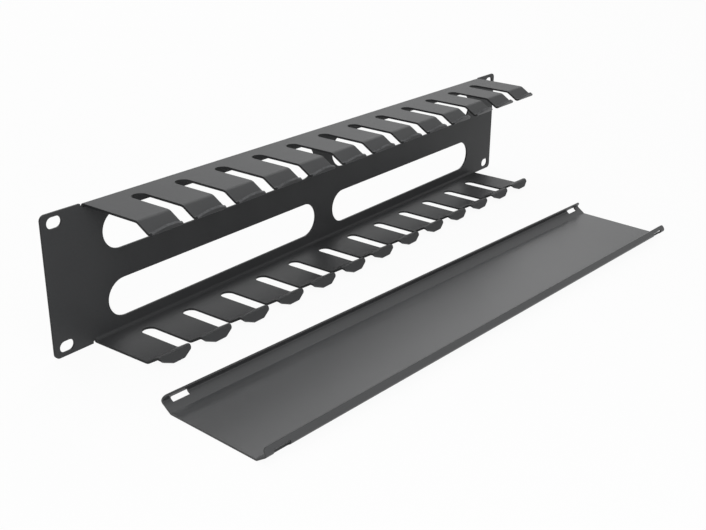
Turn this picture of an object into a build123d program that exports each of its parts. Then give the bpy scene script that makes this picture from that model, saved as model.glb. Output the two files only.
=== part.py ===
from build123d import *
import os

# Horizontal cable manager for a 19 inch rack, two rack units high.
# Two folded steel sheets: the frame, one sheet with its back plate, ears and both
# combs of fingers, and the clip-on cover, taken off and lying inside-up in front.
# Millimetres, Z up. The origin is the centre of the rack fixing slots, on the rear
# face of the back plate, which goes against the rack posts. +Y points into the rack.

os.makedirs("parts", exist_ok=True)

# Rack standard
RACK_WIDTH = 482.6
RACK_HEIGHT = 88.1
HOLE_FROM_SIDE = 8.75
HOLE_FROM_TOP = 5.95
HOLE_LENGTH = 10.0
HOLE_WIDTH = 7.0

# Frame sheet, with inside bend radii
SHEET = 1.5
BACK_BEND = 0.3
SLOPE_BEND = 4.0
LIP_BEND = 1.5
EAR_CORNER = 3.5

# Combs: equal fingers parted by round-ended slots
FINGERS = 13
FINGER_WIDTH = 23.9
SLOT_WIDTH = 9.6
SLOT_ROOT_Y = -11.4

# Finger tips: level, then a slope in to the throat, then a lip that flares out again
FLAT_END_Y = -45.9
SLOPE_FORWARD = 9.4
SLOPE_INWARD = 5.8
LIP_FORWARD = 4.2
LIP_OUTWARD = 4.9
LIP_SHOULDER = 1.8
SHOULDER_CORNER = 2.8
LIP_EDGE_WIDTH = 8.0
EDGE_CORNER = 0.8

# Reliefs beside the combs' ends, cut a little deeper than the sheet
RELIEF_WIDTH = 1.3
RELIEF_PAST_SHEET = 0.15

# Oblong openings in the back plate, two above two, parted by a cross of sheet
OPENING_LENGTH = 191.0
OPENING_HEIGHT = 24.8
UPRIGHT_BAR = 19.6
LEVEL_BAR = 19.2

# Cover: panel, sloping flanges and hooks that turn back in over them
COVER_SHEET = 1.2
COVER_BEND = 0.8
COVER_END_GAP = 0.95
CLIP_CLEARANCE = 1.85
FLANGE_OUT = 7.9
FLANGE_UP = 5.2
HOOK_IN = 2.6
HOOK_UP = 4.5
HOOK_CORNER = 2.5
COVER_SLOT_LENGTH = 11.5
COVER_SLOT_HEIGHT = 3.2
COVER_SLOT_FROM_END = 11.2

# Where the cover lies in front of the frame
COVER_X = -34.8
COVER_Y = -146.7
COVER_TURN = -4.5

FLOOR_Z = -RACK_HEIGHT / 2
HOLE_SPACING_X = RACK_WIDTH - 2 * HOLE_FROM_SIDE
HOLE_SPACING_Z = RACK_HEIGHT - 2 * HOLE_FROM_TOP
PITCH = FINGER_WIDTH + SLOT_WIDTH
COMB_WIDTH = FINGERS * FINGER_WIDTH + (FINGERS - 1) * SLOT_WIDTH
COMB_TOP = RACK_HEIGHT / 2
THROAT_Y = FLAT_END_Y - SLOPE_FORWARD
THROAT_TOP = COMB_TOP - SLOPE_INWARD
LIP_TOP = THROAT_TOP + LIP_OUTWARD
SHOULDER_Y = THROAT_Y - LIP_SHOULDER
TIP_Y = THROAT_Y - LIP_FORWARD

# Outer surface of the upper comb from the lip's free edge back to the back plate
UPPER_COMB = [
    (TIP_Y, LIP_TOP),
    (THROAT_Y, THROAT_TOP),
    (FLAT_END_Y, COMB_TOP),
    (0, COMB_TOP),
]
UPPER_BENDS = [LIP_BEND, SLOPE_BEND + SHEET, BACK_BEND + SHEET]

# Plan of one finger's end: sides, shoulders, and the lip tapering to its blunt edge
with BuildSketch() as finger_end:
    with BuildLine():
        FilletPolyline(
            (-FINGER_WIDTH / 2, FLAT_END_Y),
            (-FINGER_WIDTH / 2, SHOULDER_Y),
            (-LIP_EDGE_WIDTH / 2, TIP_Y),
            (LIP_EDGE_WIDTH / 2, TIP_Y),
            (FINGER_WIDTH / 2, SHOULDER_Y),
            (FINGER_WIDTH / 2, FLAT_END_Y),
            radius=[0, SHOULDER_CORNER, EDGE_CORNER, EDGE_CORNER, SHOULDER_CORNER, 0],
            close=True,
        )
    make_face()

with BuildPart() as frame:
    # Folded section of the sheet, as wide as the combs
    with BuildSketch(Plane.YZ):
        with BuildLine():
            FilletPolyline(
                *UPPER_COMB,
                *[(y, -z) for y, z in reversed(UPPER_COMB)],
                radius=UPPER_BENDS + UPPER_BENDS[::-1],
            )
            offset(amount=SHEET, side=Side.RIGHT, closed=True)
        make_face()
    extrude(amount=COMB_WIDTH / 2, both=True)

    # Ears, in the plane of the back plate
    with BuildSketch(Plane.XZ):
        with GridLocations((RACK_WIDTH + COMB_WIDTH) / 2, 0, 2, 1):
            Rectangle((RACK_WIDTH - COMB_WIDTH) / 2, RACK_HEIGHT)
    extrude(amount=SHEET)
    across_sheet = frame.edges().filter_by(Axis.Y)
    outer_corners = across_sheet.group_by(Axis.X)[0] + across_sheet.group_by(Axis.X)[-1]
    fillet(outer_corners, EAR_CORNER)

    # Reliefs that let the combs fold clear of the ears
    relief_depth = SHEET + RELIEF_PAST_SHEET
    with BuildSketch(Plane.XZ):
        with GridLocations(COMB_WIDTH + RELIEF_WIDTH, RACK_HEIGHT, 2, 2):
            Rectangle(RELIEF_WIDTH, 2 * relief_depth)
    extrude(amount=SHEET, mode=Mode.SUBTRACT)

    # Cable openings and rack fixing slots through the back plate
    with BuildSketch(Plane.XZ):
        with GridLocations(OPENING_LENGTH + UPRIGHT_BAR, OPENING_HEIGHT + LEVEL_BAR, 2, 2):
            SlotOverall(OPENING_LENGTH, OPENING_HEIGHT)
        with GridLocations(HOLE_SPACING_X, HOLE_SPACING_Z, 2, 2):
            SlotOverall(HOLE_LENGTH, HOLE_WIDTH)
    extrude(amount=SHEET, mode=Mode.SUBTRACT)

    # Slots that part the fingers of both combs, open at the lips
    with BuildSketch():
        slot_length = 2 * (SLOT_ROOT_Y - TIP_Y)
        with Locations((0, SLOT_ROOT_Y - slot_length / 2)):
            with GridLocations(PITCH, 0, FINGERS - 1, 1):
                SlotOverall(slot_length, SLOT_WIDTH, rotation=90)
    extrude(amount=RACK_HEIGHT, both=True, mode=Mode.SUBTRACT)

    # Lips narrowed from rounded shoulders to a blunt edge
    with BuildSketch():
        with Locations((0, (FLAT_END_Y + TIP_Y - LIP_FORWARD) / 2)):
            Rectangle(COMB_WIDTH, FLAT_END_Y - TIP_Y + LIP_FORWARD)
        with GridLocations(PITCH, 0, FINGERS, 1):
            add(finger_end.sketch, mode=Mode.SUBTRACT)
    extrude(amount=RACK_HEIGHT, both=True, mode=Mode.SUBTRACT)

frame.part.label = "frame"
export_step(frame.part, "parts/frame.step")

# Outer surface of the cover across its width, lying inside-up: from one hook's free
# edge down to the flange, across the panel and up to the other hook
BULGE = COMB_TOP - SHEET - CLIP_CLEARANCE
HALF_PANEL = BULGE - FLANGE_OUT
COVER_HALF = [(BULGE - HOOK_IN, FLANGE_UP + HOOK_UP), (BULGE, FLANGE_UP), (HALF_PANEL, 0)]
COVER_LENGTH = COMB_WIDTH - 2 * COVER_END_GAP

# Where the cover lies: its middle on the floor, turned slightly about Z
lying = Plane(
    origin=(COVER_X, COVER_Y, FLOOR_Z),
    x_dir=Vector(1, 0, 0).rotate(Axis.Z, COVER_TURN),
    z_dir=(0, 0, 1),
)
across = Plane(origin=lying.origin, x_dir=lying.y_dir, z_dir=lying.x_dir)

with BuildPart() as cover:
    # Folded section of the sheet, as long as the cover
    with BuildSketch(across):
        with BuildLine():
            FilletPolyline(
                *[(-y, z) for y, z in COVER_HALF],
                *reversed(COVER_HALF),
                radius=COVER_BEND + COVER_SHEET,
            )
            offset(amount=COVER_SHEET, side=Side.LEFT, closed=True)
        make_face()
    extrude(amount=COVER_LENGTH / 2, both=True)

    # Slots through the outward bends near both ends
    slot_spacing = COVER_LENGTH - 2 * COVER_SLOT_FROM_END
    with BuildSketch(lying.offset(FLANGE_UP)):
        with GridLocations(slot_spacing, 2 * BULGE, 2, 2):
            Rectangle(COVER_SLOT_LENGTH, 2 * FLANGE_OUT)
    extrude(amount=COVER_SLOT_HEIGHT / 2, both=True, mode=Mode.SUBTRACT)

    # Rounded ends of the hooks
    free_faces = cover.faces().group_by(Axis.Z)[-1]
    hook_ends = free_faces.edges().sort_by(SortBy.LENGTH)[:4]
    fillet(hook_ends, HOOK_CORNER)

cover.part.label = "cover"
export_step(cover.part, "parts/cover.step")
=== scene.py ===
import math
from collections import namedtuple

import bmesh
import bpy
from mathutils import Matrix, Vector


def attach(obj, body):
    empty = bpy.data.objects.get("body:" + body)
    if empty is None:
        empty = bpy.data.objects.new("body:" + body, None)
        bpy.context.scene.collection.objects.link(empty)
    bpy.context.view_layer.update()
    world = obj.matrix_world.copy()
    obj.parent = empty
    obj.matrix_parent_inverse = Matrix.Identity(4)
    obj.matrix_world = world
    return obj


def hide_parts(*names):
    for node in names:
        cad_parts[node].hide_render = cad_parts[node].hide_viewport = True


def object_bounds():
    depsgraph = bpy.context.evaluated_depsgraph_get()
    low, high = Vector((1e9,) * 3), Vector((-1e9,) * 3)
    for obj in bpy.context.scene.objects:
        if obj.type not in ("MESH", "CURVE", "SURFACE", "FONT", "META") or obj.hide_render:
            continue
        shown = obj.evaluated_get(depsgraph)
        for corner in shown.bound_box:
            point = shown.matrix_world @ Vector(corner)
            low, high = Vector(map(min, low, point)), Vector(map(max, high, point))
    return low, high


# Two-unit cable manager: a folded frame with two combs of fingers, and its cover taken off and
# lying in front. Both sheets are made flat, with rounded edges, then folded and powder coated.

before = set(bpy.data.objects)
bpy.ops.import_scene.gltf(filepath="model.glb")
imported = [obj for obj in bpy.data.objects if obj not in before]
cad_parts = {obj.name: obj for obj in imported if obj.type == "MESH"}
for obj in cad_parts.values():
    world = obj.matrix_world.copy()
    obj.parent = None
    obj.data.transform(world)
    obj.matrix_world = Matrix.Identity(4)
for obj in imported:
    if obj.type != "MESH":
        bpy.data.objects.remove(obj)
cad_low, cad_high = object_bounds()
scene = bpy.context.scene

FLOOR_Z = cad_low.z
WHITE = (1.0, 1.0, 1.0, 1.0)

# Real sizes in millimetres, as in the part's source
MM = 0.001
RACK_WIDTH = 482.6
RACK_HEIGHT = 88.1
HOLE_FROM_SIDE = 8.75
HOLE_FROM_TOP = 5.95
HOLE_LENGTH = 10.0
HOLE_WIDTH = 7.0
SHEET = 1.5
BACK_BEND = 0.3
SLOPE_BEND = 4.0
LIP_BEND = 1.5
EAR_CORNER = 3.5
FINGERS = 13
FINGER_WIDTH = 23.9
SLOT_WIDTH = 9.6
SLOT_ROOT = 11.4
FLAT_END = 45.9
SLOPE_FORWARD = 9.4
SLOPE_INWARD = 5.8
LIP_FORWARD = 4.2
LIP_OUTWARD = 4.9
LIP_SHOULDER = 1.8
SHOULDER_CORNER = 2.8
LIP_EDGE_WIDTH = 8.0
EDGE_CORNER = 0.8
RELIEF_WIDTH = 1.3
RELIEF_PAST_SHEET = 0.15
OPENING_LENGTH = 191.0
OPENING_HEIGHT = 24.8
UPRIGHT_BAR = 19.6
LEVEL_BAR = 19.2
COVER_SHEET = 1.2
COVER_BEND = 0.8
COVER_END_GAP = 0.95
CLIP_CLEARANCE = 1.85
FLANGE_OUT = 7.9
FLANGE_UP = 5.2
HOOK_IN = 2.6
HOOK_UP = 4.5
HOOK_CORNER = 2.5
COVER_SLOT_LENGTH = 11.5
COVER_SLOT_HEIGHT = 3.2
COVER_SLOT_FROM_END = 11.2
COVER_X = -34.8
COVER_Y = -146.7
COVER_TURN = -4.5

# Sizes that follow from them
HOLE_SPACING_X = RACK_WIDTH - 2 * HOLE_FROM_SIDE
HOLE_SPACING_Z = RACK_HEIGHT - 2 * HOLE_FROM_TOP
PITCH = FINGER_WIDTH + SLOT_WIDTH
COMB_WIDTH = FINGERS * PITCH - SLOT_WIDTH
COMB_TOP = RACK_HEIGHT / 2
THROAT = FLAT_END + SLOPE_FORWARD
THROAT_TOP = COMB_TOP - SLOPE_INWARD
SHOULDER = THROAT + LIP_SHOULDER
LIP_END = THROAT + LIP_FORWARD
LIP_TOP = THROAT_TOP + LIP_OUTWARD
RELIEF_DEPTH = SHEET + RELIEF_PAST_SHEET
BULGE = COMB_TOP - SHEET - CLIP_CLEARANCE
HALF_PANEL = BULGE - FLANGE_OUT
COVER_LENGTH = COMB_WIDTH - 2 * COVER_END_GAP

# Powder coat: the rounding of its edges, its fillet inside the back bends, punched corners
COAT_ROUND = 0.18
INNER_FILLET = 2.3
PUNCH_CORNER = 0.45

# Fineness of the meshes: steps of a rounded edge, the turn of one step of an arc, halvings of a
# length that is searched for, and the most that the point of a sharp edge is pushed out
ROUND_STEPS = 4
ARC_STEP = math.radians(7.5)
HALVINGS = 50
MITRE_LIMIT = 2.0

# Small lengths in millimetres: points that are one, points on a cut, points welded at the end, and
# the straight left between a slot's two rounded corners; and the turn of a corner that is none
SAME_POINT = 1e-4
ON_CUT = 1e-5
WELD = 0.002
SLOT_STRAIGHT = 1e-3
NO_TURN = 1e-6

Run = namedtuple("Run", "length start heading curvature")


def bend_runs(corners, radii):
    """One surface of half a folded section: straight runs and bends by turns."""
    runs = []
    here = Vector(corners[0])
    for number in range(1, len(corners)):
        corner = Vector(corners[number])
        before = (corner - Vector(corners[number - 1])).normalized()
        heading = math.atan2(before.y, before.x)
        if number == len(corners) - 1:
            runs.append(Run((corner - here).length, here, heading, 0.0))
            break
        after = (Vector(corners[number + 1]) - corner).normalized()
        turn = math.atan2(before.cross(after), before.dot(after))
        radius = radii[number - 1]
        tangent = radius * math.tan(abs(turn) / 2)
        bend_start = corner - before * tangent
        runs.append(Run((bend_start - here).length, here, heading, 0.0))
        runs.append(Run(radius * abs(turn), bend_start, heading, math.copysign(1 / radius, turn)))
        here = corner + after * tangent
    return runs


def trace(runs, along):
    """Point and heading at a length along the runs."""
    left = along
    for run in runs[:-1]:
        if left <= run.length:
            break
        left -= run.length
    else:
        run = runs[-1]
    heading, curvature = run.heading, run.curvature
    angle = heading + curvature * left
    if curvature:
        return run.start + Vector((
            (math.sin(angle) - math.sin(heading)) / curvature,
            (math.cos(heading) - math.cos(angle)) / curvature,
        )), angle
    return run.start + Vector((math.cos(heading), math.sin(heading))) * left, angle


class Section:
    """Half of a folded sheet's section, from its middle out: a rear surface and a front surface."""

    def __init__(self, corners, radii, thickness, front_radii):
        self.thickness = thickness
        self.rear = bend_runs(corners, radii)
        points = [Vector(corner) for corner in corners]
        sides = [(end - start).normalized() for start, end in zip(points, points[1:])]
        front = []
        for point, before, after in zip(points, sides[:1] + sides, sides + sides[-1:]):
            mean = (before + after).normalized()
            front.append(point + Vector((-mean.y, mean.x)) * thickness / mean.dot(after))
        self.front = bend_runs(front, front_radii)
        self.length = sum(run.length for run in self.rear)

        # Matching lengths on both surfaces, at the starts and ends of the bends
        self.knots = [(0.0, 0.0)]
        self.bends = []
        rear_here = front_here = 0.0
        for number in range(1, len(self.rear), 2):
            rear_bend, front_bend = self.rear[number], self.front[number]
            rear_here += self.rear[number - 1].length
            front_here += self.front[number - 1].length
            turn = abs(rear_bend.length * rear_bend.curvature)

            # A front bend that starts earlier than the rear one widens the stretch that is bent
            along = Vector((math.cos(rear_bend.heading), math.sin(rear_bend.heading)))
            wider = max(0.0, (rear_bend.start - front_bend.start).dot(along))
            low, high = rear_here - wider, rear_here + rear_bend.length + wider
            self.knots += [(low, front_here), (high, front_here + front_bend.length)]
            self.bends.append((low, high, turn * (high - low) / rear_bend.length))
            rear_here += rear_bend.length
            front_here += front_bend.length
        self.knots.append((self.length, front_here + self.front[-1].length))

    def stations(self):
        """Lengths at which the flat sheet is cut, so that its bends come out in small facets."""
        found = []
        for low, high, turn in self.bends:
            facets = math.ceil(turn / ARC_STEP)
            found += [low + (high - low) * step / facets for step in range(facets + 1)]
        return found

    def fold(self, along, depth):
        """Point on the folded section and its heading, at a signed length and a depth into the sheet."""
        along = abs(along)
        for (low, front_low), (high, front_high) in zip(self.knots, self.knots[1:]):
            if along <= high:
                break
        front_along = front_low + (front_high - front_low) * (along - low) / (high - low)
        rear_point, rear_angle = trace(self.rear, along)
        front_point, front_angle = trace(self.front, front_along)
        share = depth / self.thickness
        return rear_point.lerp(front_point, share), rear_angle + (front_angle - rear_angle) * share

    def length_at(self, reach, depth):
        """Length along the section at which its second coordinate comes to a value."""
        low, high = 0.0, self.length
        for _ in range(HALVINGS):
            middle = (low + high) / 2
            if self.fold(middle, depth)[0].y < reach:
                low = middle
            else:
                high = middle
        return (low + high) / 2


def rounded(points, radii):
    """Closed outline with its corners rounded; a radius of 0 keeps the corner."""
    outline = []
    for number, radius in enumerate(radii):
        corner = Vector(points[number])
        before = corner - Vector(points[number - 1])
        after = Vector(points[(number + 1) % len(points)]) - corner
        turn = math.atan2(before.cross(after), before.dot(after))
        if not radius or abs(turn) < NO_TURN:
            outline.append(corner)
            continue
        tangent = radius * math.tan(abs(turn) / 2)
        side = Vector((-before.y, before.x)).normalized() * math.copysign(radius, turn)
        centre = corner - before.normalized() * tangent + side
        arm = -side
        steps = max(2, math.ceil(abs(turn) / ARC_STEP))
        for step in range(steps + 1):
            angle = turn * step / steps
            outline.append(centre + Vector((
                arm.x * math.cos(angle) - arm.y * math.sin(angle),
                arm.x * math.sin(angle) + arm.y * math.cos(angle),
            )))
    kept = []
    for point in outline:
        if not kept or (point - kept[-1]).length > SAME_POINT:
            kept.append(point)
    if (kept[0] - kept[-1]).length < SAME_POINT:
        kept.pop()
    return kept


def rectangle(x, y, length, height, corner):
    """Rectangle about a point, its length along the first axis, with rounded corners."""
    a, b = length / 2, height / 2
    return rounded([(x - a, y - b), (x + a, y - b), (x + a, y + b), (x - a, y + b)], [corner] * 4)


def stadium(x, y, length, height):
    """Round-ended slot lying along the first axis."""
    return rectangle(x, y, length, height, height / 2)


def outward_normals(outline, hole):
    """At each point of an outline, the normal out of the sheet and the stretch of its mitre."""
    area = sum(outline[i - 1].cross(outline[i]) for i in range(len(outline)))
    sign = 1 if (area > 0) != hole else -1
    normals = []
    for number, point in enumerate(outline):
        before = (point - outline[number - 1]).normalized()
        after = (outline[(number + 1) % len(outline)] - point).normalized()
        mean = (before + after).normalized()
        stretch = 1 / max(1 / MITRE_LIMIT, mean.dot(after))
        normals.append((Vector((mean.y, -mean.x)) * sign, stretch))
    return normals


def rim(thickness):
    """Rounded edge from rear to front: inset, depth, and its normal's parts outward and forward."""
    rear = []
    for step in range(ROUND_STEPS + 1):
        angle = math.pi / 2 * step / ROUND_STEPS
        out, forward = math.sin(angle), -math.cos(angle)
        rear.append((1 - out, COAT_ROUND * (1 + forward), out, forward))
    front = [(inset, thickness - depth, out, -forward) for inset, depth, out, forward in reversed(rear)]
    return rear + front


def edge_rings(bm, outline, hole, thickness, highlight_from):
    """Rings of points along one rounded edge of the flat sheet, with the faces between them."""
    flat_normal = bm.verts.layers.float_vector["flat_normal"]
    painted_shade_edge = bm.verts.layers.float["painted_shade_edge"]
    painted_highlight_edge = bm.verts.layers.float["painted_highlight_edge"]
    normals = outward_normals(outline, hole)
    rings = []
    for inset, depth, out, forward in rim(thickness):
        ring = []
        for point, (normal, stretch) in zip(outline, normals):
            inner = point - normal * stretch * COAT_ROUND * inset
            vertex = bm.verts.new((inner.x, inner.y, depth))
            vertex[flat_normal] = (normal.x * out, normal.y * out, forward)
            # Cut edges are marked for a painted shade, and those out on the lips for a painted highlight
            vertex[painted_highlight_edge if abs(point.y) > highlight_from else painted_shade_edge] = out
            ring.append(vertex)
        rings.append(ring)
    for ring, following in zip(rings, rings[1:]):
        for number in range(len(ring)):
            bm.faces.new((ring[number - 1], ring[number], following[number], following[number - 1]))
    return rings


def cut_at_bends(bm, section):
    """Cuts the flat sheet across, on both sides of its middle, where the section bends."""
    for station in section.stations():
        for side in (-1, 1):
            everything = bm.verts[:] + bm.edges[:] + bm.faces[:]
            bmesh.ops.bisect_plane(
                bm, geom=everything, dist=ON_CUT, plane_co=(0, side * station, 0), plane_no=(0, 1, 0))
    bmesh.ops.remove_doubles(bm, verts=bm.verts[:], dist=WELD)


def folded_sheet(name, outer, holes, section, place, highlight_from=math.inf):
    """Sheet with rounded edges: made flat from outlines in (x, length), cut at its bends, folded.

    Its cut edges are marked for the material's painted shade, apart from those past the given
    length along the section, which are marked for its painted highlight instead.
    """
    bm = bmesh.new()
    bm.verts.layers.float_vector.new("flat_normal")
    bm.verts.layers.float.new("painted_shade_edge")
    bm.verts.layers.float.new("painted_highlight_edge")
    faces = {-1: [], 1: []}
    for outline, hole in [(outer, False)] + [(loop, True) for loop in holes]:
        rings = edge_rings(bm, outline, hole, section.thickness, highlight_from)
        for side, ring in ((-1, rings[0]), (1, rings[-1])):
            faces[side] += [bm.edges.get((ring[number - 1], ring[number])) for number in range(len(ring))]
    for side, edges in faces.items():
        bmesh.ops.triangle_fill(bm, use_beauty=True, use_dissolve=False, edges=edges, normal=(0, 0, side))
    cut_at_bends(bm, section)
    flat_normal = bm.verts.layers.float_vector["flat_normal"]
    normals = []
    for vertex in bm.verts:
        vertex.co, normal = place(vertex.co.copy(), vertex[flat_normal].normalized())
        normals.append(normal)
    bmesh.ops.recalc_face_normals(bm, faces=bm.faces[:])
    mesh = bpy.data.meshes.new(name)
    bm.to_mesh(mesh)
    bm.free()
    mesh.attributes.remove(mesh.attributes["flat_normal"])
    mesh.polygons.foreach_set("use_smooth", [True] * len(mesh.polygons))
    mesh.normals_split_custom_set_from_vertices(normals)
    piece = bpy.data.objects.new(name, mesh)
    scene.collection.objects.link(piece)
    return piece


def turned(along, flat_normal, angle):
    """A normal of the flat sheet carried round with the section, as (x, first, second coordinate)."""
    side = math.copysign(1, along)
    length_part = flat_normal.y * side
    first = length_part * math.cos(angle) - flat_normal.z * math.sin(angle)
    second = length_part * math.sin(angle) + flat_normal.z * math.cos(angle)
    return flat_normal.x, first * side, second


FRAME_SECTION = Section(
    [(0, 0), (COMB_TOP, 0), (COMB_TOP, FLAT_END), (THROAT_TOP, THROAT), (LIP_TOP, LIP_END)],
    [BACK_BEND + SHEET, SLOPE_BEND + SHEET, LIP_BEND],
    SHEET,
    [INNER_FILLET, SLOPE_BEND, LIP_BEND + SHEET])
COVER_SECTION = Section(
    [(0, 0), (HALF_PANEL, 0), (BULGE, FLANGE_UP), (BULGE - HOOK_IN, FLANGE_UP + HOOK_UP)],
    [COVER_BEND + COVER_SHEET] * 2,
    COVER_SHEET,
    [COVER_BEND] * 2)


def place_frame(flat, flat_normal):
    """Folds a point of the frame's blank: x, height or comb length, depth from the rear face."""
    if abs(flat.x) > COMB_WIDTH / 2 + SAME_POINT:
        where = Vector((flat.x, -flat.z, flat.y)) * MM
        return where, Vector((flat_normal.x, -flat_normal.z, flat_normal.y))
    point, angle = FRAME_SECTION.fold(flat.y, flat.z)
    x, up, forward = turned(flat.y, flat_normal, angle)
    return Vector((flat.x, -point.y, math.copysign(point.x, flat.y))) * MM, Vector((x, -forward, up))


COVER_FRAME = (
    Matrix.Translation((COVER_X * MM, COVER_Y * MM, FLOOR_Z))
    @ Matrix.Rotation(math.radians(COVER_TURN), 4, "Z")
)


def place_cover(flat, flat_normal):
    """Folds a point of the cover's blank and lays the cover where it lies."""
    point, angle = COVER_SECTION.fold(flat.y, flat.z)
    x, across, up = turned(flat.y, flat_normal, angle)
    where = Vector((flat.x, math.copysign(point.x, flat.y), point.y)) * MM
    return COVER_FRAME @ where, COVER_FRAME.to_3x3() @ Vector((x, across, up))


def comb_edge():
    """Cut edge of the upper comb from left to right, as x and length along the section."""
    plan = [(-COMB_WIDTH / 2, SLOT_ROOT)]
    radii = [0]
    side, edge = FINGER_WIDTH / 2, LIP_EDGE_WIDTH / 2
    for number in range(FINGERS):
        middle = (number - (FINGERS - 1) / 2) * PITCH
        plan += [
            (middle - side, SHOULDER),
            (middle - edge, LIP_END),
            (middle + edge, LIP_END),
            (middle + side, SHOULDER),
        ]
        radii += [SHOULDER_CORNER, EDGE_CORNER, EDGE_CORNER, SHOULDER_CORNER]
        if number < FINGERS - 1:
            plan += [(middle + side, SLOT_ROOT), (middle + side + SLOT_WIDTH, SLOT_ROOT)]
            radii += [SLOT_WIDTH / 2 - SLOT_STRAIGHT] * 2
    plan.append((COMB_WIDTH / 2, SLOT_ROOT))
    radii.append(0)
    return [(point.x, FRAME_SECTION.length_at(point.y, SHEET / 2)) for point in rounded(plan, radii)]


def make_frame():
    """Back plate, ears and both combs, folded from one sheet."""
    top = RACK_HEIGHT / 2
    notch_side = COMB_WIDTH / 2 + RELIEF_WIDTH
    ear = [
        (RACK_WIDTH / 2, top),
        (notch_side, top),
        (notch_side, top - RELIEF_DEPTH),
        (COMB_WIDTH / 2, top - RELIEF_DEPTH),
    ]
    ear_radii = [EAR_CORNER, PUNCH_CORNER, PUNCH_CORNER, PUNCH_CORNER]
    upper = [(-x, y) for x, y in ear] + comb_edge() + ear[::-1]
    upper_radii = ear_radii + [0] * (len(upper) - 2 * len(ear)) + ear_radii[::-1]
    lower = [(x, -y) for x, y in reversed(upper)]
    outer = rounded(upper + lower, upper_radii + upper_radii[::-1])
    opening_x = (OPENING_LENGTH + UPRIGHT_BAR) / 2
    opening_z = (OPENING_HEIGHT + LEVEL_BAR) / 2
    hole_x, hole_z = HOLE_SPACING_X / 2, HOLE_SPACING_Z / 2
    holes = []
    for side in (-1, 1):
        for level in (-1, 1):
            holes.append(stadium(side * opening_x, level * opening_z, OPENING_LENGTH, OPENING_HEIGHT))
            holes.append(stadium(side * hole_x, level * hole_z, HOLE_LENGTH, HOLE_WIDTH))
    lip_start = FRAME_SECTION.bends[-1][1]
    # Past the lips' bend the cut edges get a painted highlight instead of the painted shade
    return folded_sheet("frame_sheet", outer, holes, FRAME_SECTION, place_frame, highlight_from=lip_start)


def make_cover():
    """Panel, flanges and hooks, folded from one sheet, with a slot near each corner."""
    outer = rectangle(0, 0, COVER_LENGTH, 2 * COVER_SECTION.length, HOOK_CORNER)
    slot_start = COVER_SECTION.length_at(FLANGE_UP - COVER_SLOT_HEIGHT / 2, COVER_SHEET / 2)
    slot_end = COVER_SECTION.length_at(FLANGE_UP + COVER_SLOT_HEIGHT / 2, COVER_SHEET / 2)
    slot_x = COVER_LENGTH / 2 - COVER_SLOT_FROM_END
    slot_y = (slot_start + slot_end) / 2
    holes = []
    for side in (-1, 1):
        for level in (-1, 1):
            holes.append(rectangle(
                side * slot_x, level * slot_y, COVER_SLOT_LENGTH, slot_end - slot_start, PUNCH_CORNER))
    return folded_sheet("cover_sheet", outer, holes, COVER_SECTION, place_cover)


# Camera: the photograph's viewing direction, in degrees, metres and picture pixels
PICTURE_WIDTH = 706.0
FOCAL_PIXELS = 1041.0
AZIMUTH = -57.54
ELEVATION = 22.22
ROLL = 2.40
DISTANCE = 0.7697
ASIDE = 0.0880
BELOW = 0.0504
SHIFT_RIGHT = 90.0
SHIFT_DOWN = -12.0
TARGET = Vector((0, -0.0015, 0))


def make_camera():
    """Camera that looks at the target from the azimuth and elevation, placed aside and below it."""
    azimuth = math.radians(AZIMUTH)
    elevation = math.radians(ELEVATION)
    roll = math.radians(ROLL)
    back = Vector((
        math.sin(azimuth) * math.cos(elevation),
        -math.cos(azimuth) * math.cos(elevation),
        math.sin(elevation),
    ))
    level = (-back).cross(Vector((0, 0, 1))).normalized()
    upright = level.cross(-back)
    right = level * math.cos(roll) + upright * math.sin(roll)
    up = upright * math.cos(roll) - level * math.sin(roll)
    data = bpy.data.cameras.new("camera")
    camera = bpy.data.objects.new("camera", data)
    scene.collection.objects.link(camera)
    place = Matrix((right, up, back)).transposed().to_4x4()
    place.translation = TARGET + right * ASIDE - up * BELOW + back * DISTANCE
    camera.matrix_world = place
    data.sensor_width = 36.0
    data.lens = FOCAL_PIXELS * data.sensor_width / PICTURE_WIDTH
    data.shift_x = -SHIFT_RIGHT / PICTURE_WIDTH
    data.shift_y = SHIFT_DOWN / PICTURE_WIDTH
    data.clip_start = 0.01
    data.clip_end = 50.0
    scene.camera = camera


def node(tree, kind, **inputs):
    """New node of a kind, with its inputs set by name; an underscore stands for a space."""
    made = tree.nodes.new(kind)
    for name, value in inputs.items():
        made.inputs[name.replace("_", " ")].default_value = value
    return made


# Powder coat: scales of its noises, in waves per metre, each with its detail and the roughness of
# them all, and the range that holds most of a noise's values
CLOUD_SCALE, CLOUD_DETAIL = 18.0, 2.0
PATCH_SCALE, PATCH_DETAIL = 420.0, 2.0
PEEL_SCALE, PEEL_DETAIL = 900.0, 1.0
GRAIN_SCALE, GRAIN_DETAIL = 3800.0, 2.0
NOISE_ROUGHNESS = 0.55
NOISE_LOW, NOISE_HIGH = 0.3, 0.7

# Bumps of the orange peel and of the grain: heights in metres, and strengths
PEEL_HEIGHT, PEEL_STRENGTH = 0.00006, 0.35
GRAIN_HEIGHT, GRAIN_STRENGTH = 0.00003, 0.25

# Shades as multiples of the coat's colour: clouds, specks, painted shade on cut edges, painted
# highlight on the lips' edges; how strong the specks get, how weak the patchy painted highlight is at
# least, and how uneven the gloss is
CLOUD_DARK = 0.93
CLOUD_LIGHT = 1.07
SPECK_LIGHT = 1.6
EDGE_SHADE_DARK = 0.45
HIGHLIGHT_LIGHT = 2.4
SPECK_SHARE = 0.35
HIGHLIGHT_LEAST = 0.25
GLOSS_SPREAD = 0.05


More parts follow.
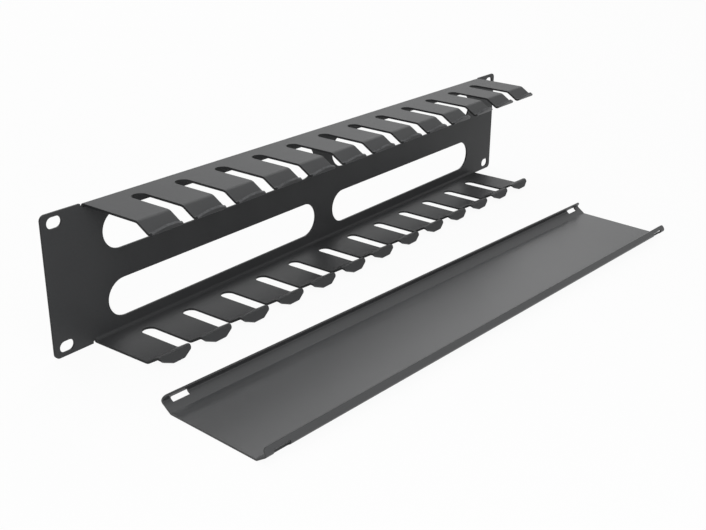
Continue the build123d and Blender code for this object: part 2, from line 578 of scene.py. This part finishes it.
def powder_coat(name, colour, specular, roughness):
    """Satin powder coat: orange peel and grain, uneven colour and gloss, painted shade on cut edges,
    painted highlight on the lips' edges.
    """
    material = bpy.data.materials.new(name)
    material.use_nodes = True
    tree = material.node_tree
    shader = tree.nodes["Principled BSDF"]
    shader.inputs["Specular IOR Level"].default_value = specular
    place = node(tree, "ShaderNodeTexCoord")

    def noise(scale, detail):
        """Noise in the object's own space."""
        made = node(
            tree, "ShaderNodeTexNoise", Scale=scale, Detail=detail, Roughness=NOISE_ROUGHNESS)
        tree.links.new(place.outputs["Object"], made.inputs["Vector"])
        return made.outputs["Fac"]

    def spread(source, low, high):
        """A noise's usual range spread between two values."""
        made = node(
            tree, "ShaderNodeMapRange",
            From_Min=NOISE_LOW, From_Max=NOISE_HIGH, To_Min=low, To_Max=high)
        tree.links.new(source, made.inputs["Value"])
        return made.outputs["Result"]

    def product(first, second):
        """Two outputs multiplied."""
        made = node(tree, "ShaderNodeMath")
        made.operation = "MULTIPLY"
        tree.links.new(first, made.inputs[0])
        tree.links.new(second, made.inputs[1])
        return made.outputs[0]

    def edge(attribute):
        """A mark of the mesh, from 0 on the faces to 1 on the edges."""
        made = node(tree, "ShaderNodeAttribute")
        made.attribute_name = attribute
        return made.outputs["Fac"]

    def mixed(factor, first, second):
        """Colour between two, of which the first may be another node's output."""
        made = node(tree, "ShaderNodeMixRGB", Color2=(*second, 1))
        if isinstance(first, tuple):
            made.inputs["Color1"].default_value = (*first, 1)
        else:
            tree.links.new(first, made.inputs["Color1"])
        tree.links.new(factor, made.inputs["Fac"])
        return made.outputs["Color"]

    def shade(amount):
        """The coat's colour made darker or lighter."""
        return tuple(amount * part for part in colour)

    cloud = noise(CLOUD_SCALE, CLOUD_DETAIL)
    peel = noise(PEEL_SCALE, PEEL_DETAIL)
    grain = noise(GRAIN_SCALE, GRAIN_DETAIL)
    patches = noise(PATCH_SCALE, PATCH_DETAIL)
    tint = mixed(spread(cloud, 0.0, 1.0), shade(CLOUD_DARK), shade(CLOUD_LIGHT))
    speckled = mixed(spread(grain, 0.0, SPECK_SHARE), tint, shade(SPECK_LIGHT))
    # Painted shade: the cut edges are darkened to under half the coat's colour, as if in shade
    shaded_edges = mixed(edge("painted_shade_edge"), speckled, shade(EDGE_SHADE_DARK))
    # Painted highlight: the lips' cut edges are lightened, in patches, as if catching light
    edge_highlight = product(edge("painted_highlight_edge"), spread(patches, HIGHLIGHT_LEAST, 1.0))
    tree.links.new(mixed(edge_highlight, shaded_edges, shade(HIGHLIGHT_LIGHT)), shader.inputs["Base Color"])
    gloss = spread(grain, roughness - GLOSS_SPREAD, roughness + GLOSS_SPREAD)
    tree.links.new(gloss, shader.inputs["Roughness"])

    waves = node(tree, "ShaderNodeBump", Strength=PEEL_STRENGTH, Distance=PEEL_HEIGHT)
    tree.links.new(peel, waves.inputs["Height"])
    pits = node(tree, "ShaderNodeBump", Strength=GRAIN_STRENGTH, Distance=GRAIN_HEIGHT)
    tree.links.new(grain, pits.inputs["Height"])
    tree.links.new(waves.outputs["Normal"], pits.inputs["Normal"])
    tree.links.new(pits.outputs["Normal"], shader.inputs["Normal"])
    return material


def seen_directly(tree):
    """Factor that is 1 for camera, glossy and transmission rays, and 0 for diffuse light."""
    path = node(tree, "ShaderNodeLightPath")
    total = path.outputs["Is Camera Ray"]
    for kind in ("Is Glossy Ray", "Is Transmission Ray"):
        add = node(tree, "ShaderNodeMath")
        add.operation = "MAXIMUM"
        tree.links.new(total, add.inputs[0])
        tree.links.new(path.outputs[kind], add.inputs[1])
        total = add.outputs[0]
    return total


# Studio: the floor's half width in metres, its grey, and how white floor and world are where seen
FLOOR_HALF = 40.0
FLOOR_GREY = (0.80, 0.80, 0.80, 1.0)
FLOOR_WHITENESS = 0.94
WORLD_SEEN = 0.96
WORLD_LIGHT = 0.36


def make_floor():
    """Pale floor, almost white where it is seen, which keeps a faint shadow of the object."""
    mesh = bpy.data.meshes.new("floor")
    corners = [(x * FLOOR_HALF, y * FLOOR_HALF, FLOOR_Z) for x, y in ((-1, -1), (1, -1), (1, 1), (-1, 1))]
    mesh.from_pydata(corners, [], [(0, 1, 2, 3)])
    floor = bpy.data.objects.new("floor", mesh)
    scene.collection.objects.link(floor)
    material = bpy.data.materials.new("floor")
    material.use_nodes = True
    tree = material.node_tree
    tree.nodes.clear()
    output = node(tree, "ShaderNodeOutputMaterial")
    matt = node(tree, "ShaderNodeBsdfDiffuse", Color=FLOOR_GREY)
    glow = node(tree, "ShaderNodeEmission", Color=WHITE, Strength=1.0)
    share = node(tree, "ShaderNodeMath")
    share.operation = "MULTIPLY"
    share.inputs[1].default_value = FLOOR_WHITENESS
    mix = node(tree, "ShaderNodeMixShader")
    tree.links.new(seen_directly(tree), share.inputs[0])
    tree.links.new(share.outputs[0], mix.inputs[0])
    tree.links.new(matt.outputs[0], mix.inputs[1])
    tree.links.new(glow.outputs[0], mix.inputs[2])
    tree.links.new(mix.outputs[0], output.inputs[0])
    mesh.materials.append(material)


def make_world():
    """Even light from all around, and a white background."""
    world = bpy.data.worlds.new("studio")
    scene.world = world
    world.use_nodes = True
    tree = world.node_tree
    tree.nodes.clear()
    output = node(tree, "ShaderNodeOutputWorld")
    light = node(tree, "ShaderNodeBackground", Color=WHITE, Strength=WORLD_LIGHT)
    seen = node(tree, "ShaderNodeBackground", Color=WHITE, Strength=WORLD_SEEN)
    mix = node(tree, "ShaderNodeMixShader")
    tree.links.new(seen_directly(tree), mix.inputs[0])
    tree.links.new(light.outputs[0], mix.inputs[1])
    tree.links.new(seen.outputs[0], mix.inputs[2])
    tree.links.new(mix.outputs[0], output.inputs[0])


def soft_light(name, direction, distance, size, power):
    """Round lamp facing the target, in metres and watts."""
    data = bpy.data.lights.new(name, "AREA")
    data.shape = "DISK"
    data.size = size
    data.energy = power
    lamp = bpy.data.objects.new(name, data)
    scene.collection.objects.link(lamp)
    direction = Vector(direction).normalized()
    lamp.location = TARGET + direction * distance
    lamp.rotation_mode = "QUATERNION"
    lamp.rotation_quaternion = direction.to_track_quat("Z", "Y")


make_camera()
make_floor()
make_world()
soft_light("overhead", direction=(0.1, 0.1, 1.0), distance=1.8, size=1.4, power=4.0)
soft_light("back", direction=(0.1, 0.9, 0.7), distance=1.8, size=1.2, power=6.0)
soft_light("back_right", direction=(0.70, 0.45, 0.75), distance=1.8, size=1.4, power=7.0)
soft_light("left", direction=(-0.7, -0.7, 0.6), distance=0.9, size=0.8, power=3.3)

frame_coat = powder_coat("frame_coat", (0.0490, 0.0500, 0.0515), specular=0.12, roughness=0.42)
cover_coat = powder_coat("cover_coat", (0.0480, 0.0492, 0.0508), specular=0.44, roughness=0.38)
for make, node_name, slot, coat in (
    (make_frame, "frame", "powder_coat", frame_coat),
    (make_cover, "cover", "cover_powder_coat", cover_coat),
):
    piece = make()
    piece.data.materials.append(coat)
    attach(piece, "root")
    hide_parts(node_name)

scene.view_settings.view_transform = "Standard"
